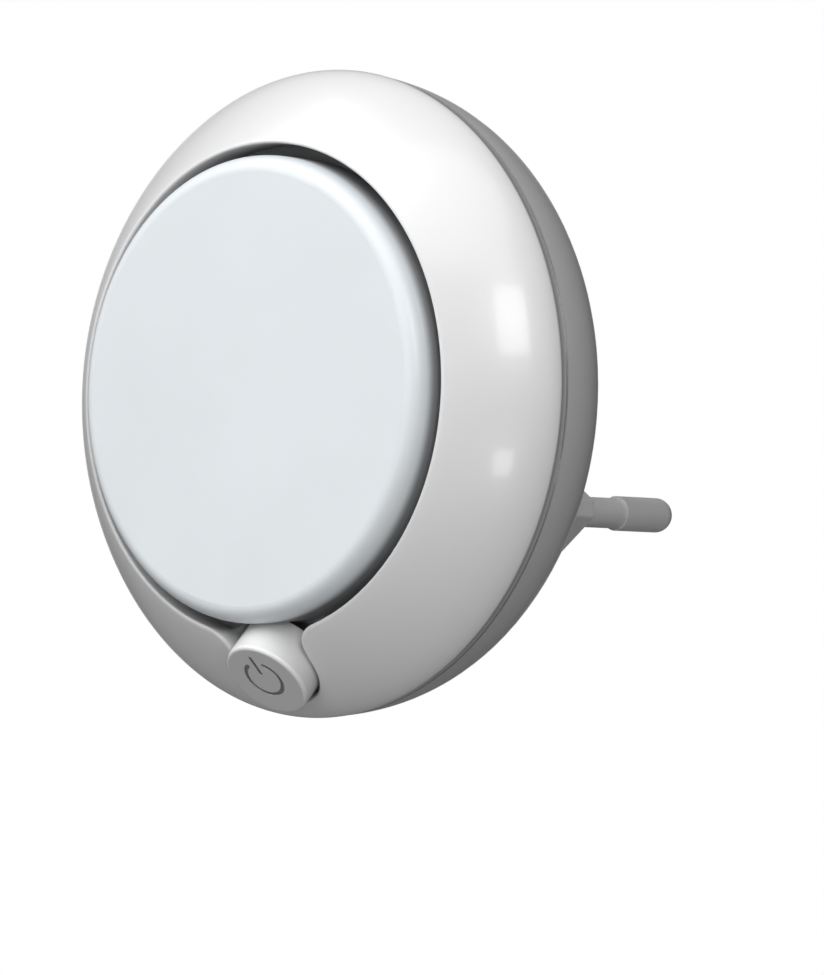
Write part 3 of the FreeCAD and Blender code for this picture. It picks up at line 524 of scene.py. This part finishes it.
def shell_column(dome, edge, share, away, even):
    """One column of the front shell: wall, rounded edge, dome, band, seam and inside."""
    size = dome.size
    into = (dome.inward * (1 - share) + Vector((0.0, 1.0, 0.0)) * share).normalized()
    start = edge + away.normalized() * size.edge_round
    start = dome.on_dome(start.x, start.z)
    end = edge + into * size.edge_round
    foot = edge + into * (size.collar_depth * (1 - share) + size.mouth_depth * share)
    column = [end.lerp(foot, step / WALL_STEPS) for step in range(WALL_STEPS, 0, -1)]
    for step in range(EDGE_STEPS, -1, -1):
        t = step / EDGE_STEPS
        column.append(start * (1 - t) ** 2 + edge * 2 * t * (1 - t) + end * t * t)
    angle = math.atan2(start.x, -start.z)
    pull = EVEN_PULL * max(0.0, 1 - abs(even) / EVEN_REACH)
    seam_angle = angle * (1 - pull) + even * pull
    share_out = dome.share(math.hypot(start.x, start.z))
    for step in range(1, DOME_STEPS):
        t = step / DOME_STEPS
        radius, y = dome.profile(share_out + (1 - share_out) * t)
        column.append(turned(radius, y, angle + (seam_angle - angle) * t))
    column += [turned(radius, y, seam_angle) for radius, y in dome.seam_lines()]
    seam = column[-1]
    back = foot + Vector((away.x, 0.0, away.z)).normalized() * (size.wall * 0.5)
    for step in range(1, INNER_STEPS):
        point = seam.lerp(back, step / INNER_STEPS)
        floor = dome.depth(min(math.hypot(point.x, point.z), size.seam_radius)) + size.wall
        point.y = max(point.y, min(floor, size.front_depth))
        column.append(point)
    return column + [back]


def dome_rows(dome):
    """The rows of the front shell, and how far each lies in a gap, which sets how much painted shade it
    takes.
    """
    loop = mirrored(dome.half_loop())
    columns = [
        shell_column(dome, edge, share, way_out(dome, loop, number), even)
        for number, ((edge, share), even) in enumerate(zip(loop, even_angles(loop)))]
    rows = list(zip(*columns))
    inside = [max(0.0, 1 - row / WALL_STEPS) for row in range(len(rows))]
    groove = WALL_STEPS + EDGE_STEPS + DOME_STEPS + 1
    inside[groove] = 1.0
    inside[-1] = 1.0
    return rows, inside


def ring_mesh(name, rows, inside):
    """A closed tube of quads from rows of equally many points; the last row joins the first.

    How far each row lies in a gap, which sets its painted shade, is kept in the attribute "inside".
    """
    mesh = bpy.data.meshes.new(name)
    count = len(rows[0])
    vertices = [tuple(point) for row in rows for point in row]
    faces = []
    for r in range(len(rows)):
        after = (r + 1) % len(rows)
        for c in range(count):
            d = (c + 1) % count
            faces.append((r * count + c, r * count + d, after * count + d, after * count + c))
    mesh.from_pydata(vertices, [], faces)
    mesh.validate()
    for polygon in mesh.polygons:
        polygon.use_smooth = True
    shade = mesh.attributes.new("inside", "FLOAT", "POINT")
    shade.data.foreach_set("value", [value for value in inside for column in range(count)])
    piece = bpy.data.objects.new(name, mesh)
    bpy.context.scene.collection.objects.link(piece)
    return piece


def paint(piece, finish):
    """Gives a piece one material."""
    piece.data.materials.clear()
    piece.data.materials.append(finish.material)


class NIGHTLIGHT_OT_front_shell(bpy.types.Operator):
    """Draw the domed front ring with its rounded mouth and keyhole"""

    bl_idname = "night_light.front_shell"
    bl_label = "Front shell"

    def execute(self, context):
        rows, inside = dome_rows(Dome(sizes()))
        piece = ring_mesh("front_shell_dome", rows, inside)
        piece.data.transform(Matrix.Translation(axis_place()))
        shell = bmesh.new()
        shell.from_mesh(piece.data)
        bmesh.ops.recalc_face_normals(shell, faces=shell.faces)
        shell.to_mesh(piece.data)
        shell.free()
        finish = moulded("gloss_case_front", colours().case, 0.30, coat=0.25)
        # Painted shade: the mouth's inner wall, the band's groove and the inside face are greyed towards the
        # gap grey.
        deep = finish.node("ShaderNodeAttribute", {"attribute_name": "inside"}, output=2)
        paint(piece, finish.tint(deep.above(0.5, 0.5) * 0.5, colours().gap))
        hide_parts("front_shell")
        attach(piece, "lamp")
        return {"FINISHED"}


def rear_finish():
    """Gloss white darkened as painted shade, with a grey seam line at its front edge painted in the gaps'
    shade grey.
    """
    seam_line, soft = 0.16 * MM, 0.05 * MM
    # Painted shade: the rear shell takes the case's white darkened to 0.72, as it takes less light.
    finish = moulded("gloss_case_rear", rgba(colours().case, 0.72), 0.32, coat=0.12)
    seam = axis_place().y + sizes().front_depth
    # Painted shade: the front edge is greyed into a dark seam line.
    return finish.tint(1.0 - finish.axis("Y").above(seam + seam_line, soft), colours().gap)


def panel_finish():
    """Frosted plastic, with painted shade greying its upper edge and the wall that goes into the gap."""
    finish = moulded(
        "frosted_panel", colours().panel, 0.4, blotch=12 * MM, grain=0.25 * MM, grain_depth=0.008 * MM)
    lip = axis_place()
    # Painted shade: the rim is greyed towards its top.
    edge = finish.axis("Y").above(lip.y - 1.3 * MM, 0.8 * MM)
    upper = finish.axis("Z").above(lip.z + 15 * MM, 12 * MM)
    finish.tint(edge * upper * 0.5, colours().edge)
    # Painted shade: the side wall is greyed deep in the gap.
    return finish.tint(finish.axis("Y").above(lip.y + 0.15 * MM, 0.75 * MM) * 0.9, colours().gap)


class NIGHTLIGHT_OT_case(bpy.types.Operator):
    """Finish the rear shell, the frosted panel and the plug"""

    bl_idname = "night_light.case"
    bl_label = "Case and plug"

    def execute(self, context):
        nodes = frame["nodes"]
        paint(nodes["rear_shell"], rear_finish())
        paint(nodes["diffuser"], panel_finish())
        paint(nodes["plug_insert"], moulded("plug_plastic", colours().plug, 0.35, grain=0.5 * MM))
        for side in ("left", "right"):
            paint(nodes["pin_sleeve_" + side], moulded("sleeve_" + side, colours().sleeve, 0.42))
            plating = metal("pin_plating_" + side, colours().pin, 0.42, metallic=0.35)
            paint(nodes["contact_pin_" + side], plating)
        return {"FINISHED"}


def button_finish():
    """Satin plastic, darker in the cut of the power symbol, and glossy on its bevel, where a painted
    highlight lightens it.
    """
    symbol_cut, symbol_reach, cut_soft = 0.12 * MM, 3.6 * MM, 0.05 * MM
    bevel_foot, bevel_top, bevel_reach = 0.40 * MM, 0.03 * MM, 4.3 * MM
    finish = moulded("satin_button", colours().button, 0.38, blotch=8 * MM, grain=0.3 * MM)
    size = sizes()
    middle = axis_place() + Vector((0.0, size.button_y, -size.button_drop))
    outward = Vector((0.0, -math.cos(size.button_tilt), -math.sin(size.button_tilt)))
    face = max(vertex.co.dot(outward) for vertex in frame["nodes"]["button_cap"].data.vertices)
    place = finish.place()
    from_middle = finish.node("ShaderNodeVectorMath", {"operation": "SUBTRACT"}, {0: place, 1: tuple(middle)})
    height = finish.node(
        "ShaderNodeVectorMath", {"operation": "DOT_PRODUCT"}, {0: place, 1: tuple(outward)}, output=1)
    reach = finish.node("ShaderNodeVectorMath", {"operation": "LENGTH"}, {0: from_middle}, output=1)
    sunk = 1.0 - height.above(face - symbol_cut, cut_soft)
    finish.tint(sunk * (1.0 - reach.above(symbol_reach, cut_soft)), colours().symbol)
    # Painted highlight: the bevel ring is lightened to near white, and given a coat.
    bevel = height.above(face - bevel_foot, 0.06 * MM) * (1.0 - height.above(face - bevel_top, 0.03 * MM))
    bevel = bevel * reach.above(bevel_reach, 0.1 * MM)
    return finish.set(Coat_Weight=bevel).tint(bevel, colours().bevel)


class NIGHTLIGHT_OT_button(bpy.types.Operator):
    """Finish the push button with its power symbol"""

    bl_idname = "night_light.button"
    bl_label = "Push button"

    def execute(self, context):
        paint(frame["nodes"]["button_cap"], button_finish())
        return {"FINISHED"}


class NIGHTLIGHT_OT_inside(bpy.types.Operator):
    """Finish the boards, the parts on them, the switch and the screws"""

    bl_idname = "night_light.inside"
    bl_label = "Inside"

    def execute(self, context):
        for node, (colour, rough) in INNER_PLASTICS.items():
            finish = moulded(node + "_finish", colour, rough, blotch=3 * MM, spread=0.08)
            paint(frame["nodes"][node], finish)
        for node, (colour, rough) in INNER_METALS.items():
            paint(frame["nodes"][node], metal(node + "_plating", colour, rough))
        return {"FINISHED"}


def studio_lamp(name, place, aim, size, power):
    """A soft rectangular lamp at a place, aimed at a point."""
    data = bpy.data.lights.new(name, "AREA")
    data.shape = "RECTANGLE"
    data.size, data.size_y = size
    data.energy = power
    lamp = bpy.data.objects.new(name, data)
    lamp.location = place
    lamp.rotation_euler = (aim - place).to_track_quat("-Z", "Y").to_euler()
    bpy.context.scene.collection.objects.link(lamp)


def studio_world():
    """Plain white behind the object, and a dimmer light on it."""
    world = bpy.data.worlds.new("studio")
    world.use_nodes = True
    nodes, links = world.node_tree.nodes, world.node_tree.links
    nodes.clear()
    path = nodes.new("ShaderNodeLightPath")
    mix = nodes.new("ShaderNodeMixShader")
    output = nodes.new("ShaderNodeOutputWorld")
    for socket, strength in ((1, WORLD_LIGHT), (2, 1.0)):
        light = nodes.new("ShaderNodeBackground")
        light.inputs["Color"].default_value = (1.0, 1.0, 1.0, 1.0)
        light.inputs["Strength"].default_value = strength
        links.new(light.outputs[0], mix.inputs[socket])
    links.new(path.outputs["Is Camera Ray"], mix.inputs[0])
    links.new(mix.outputs[0], output.inputs[0])
    return world


def studio_floor(height):
    """A plain pale floor at a height."""
    corners = ((-1, -1), (1, -1), (1, 1), (-1, 1))
    mesh = bpy.data.meshes.new("floor")
    mesh.from_pydata([(x * FLOOR_HALF, y * FLOOR_HALF, height) for x, y in corners], [], [(0, 1, 2, 3)])
    floor = bpy.data.objects.new("floor", mesh)
    bpy.context.scene.collection.objects.link(floor)
    finish = moulded("pale_floor", FLOOR_GREY, 0.7, blotch=300 * MM, spread=0.01)
    paint(floor, finish.tint(finish.node("ShaderNodeLightPath"), FLOOR_SEEN))
    return floor


def studio_camera(target):
    """The camera at the photograph's angle, looking at a point."""
    lens = bpy.data.cameras.new("camera")
    lens.sensor_width = CAMERA_SENSOR
    lens.lens = FOCAL_PIXELS * CAMERA_SENSOR / PICTURE_HEIGHT
    lens.clip_start = CAMERA_NEAR
    camera = bpy.data.objects.new("camera", lens)
    back = Vector((
        math.sin(CAMERA_AZIMUTH) * math.cos(CAMERA_ELEVATION),
        -math.cos(CAMERA_AZIMUTH) * math.cos(CAMERA_ELEVATION),
        math.sin(CAMERA_ELEVATION)))
    camera.location = target + back * CAMERA_DISTANCE
    camera.rotation_euler = back.to_track_quat("Z", "Y").to_euler()
    bpy.context.scene.collection.objects.link(camera)
    return camera


class NIGHTLIGHT_OT_stage(bpy.types.Operator):
    """Set the floor, the soft lamps, the world and the camera"""

    bl_idname = "night_light.stage"
    bl_label = "Stage"

    def execute(self, context):
        scene = context.scene
        scene.view_settings.view_transform = "Standard"
        scene.world = studio_world()
        middle = axis_place()
        studio_floor(middle.z - FLOOR_DROP)
        for name, place, size, power in LAMPS:
            studio_lamp(name, middle + Vector(place), middle, size, power)
        scene.camera = studio_camera(middle + Vector(CAMERA_AIM) * MM)
        return {"FINISHED"}


STEPS = (
    NIGHTLIGHT_OT_front_shell, NIGHTLIGHT_OT_case, NIGHTLIGHT_OT_button, NIGHTLIGHT_OT_inside,
    NIGHTLIGHT_OT_stage)


class NIGHTLIGHT_PT_panel(bpy.types.Panel):
    """The night light's steps, sizes and colours"""

    bl_label = "Night light"
    bl_space_type = "VIEW_3D"
    bl_region_type = "UI"
    bl_category = "Night light"

    def draw(self, context):
        for step in STEPS:
            self.layout.operator(step.bl_idname)
        for group in (context.scene.night_light_sizes, context.scene.night_light_colours):
            for name in group.__annotations__:
                self.layout.prop(group, name)


CLASSES = (NightLightSizes, NightLightColours) + STEPS + (NIGHTLIGHT_PT_panel,)


def register():
    """Adds the classes and the scene's settings."""
    for cls in CLASSES:
        bpy.utils.register_class(cls)
    bpy.types.Scene.night_light_sizes = bpy.props.PointerProperty(type=NightLightSizes)
    bpy.types.Scene.night_light_colours = bpy.props.PointerProperty(type=NightLightColours)


def unregister():
    """Takes them away again."""
    del bpy.types.Scene.night_light_colours
    del bpy.types.Scene.night_light_sizes
    for cls in reversed(CLASSES):
        bpy.utils.unregister_class(cls)


def main():
    """Makes the pieces in order."""
    register()
    for step in STEPS:
        group, name = step.bl_idname.split(".")
        getattr(getattr(bpy.ops, group), name)()


if __name__ == "__main__":
    main()
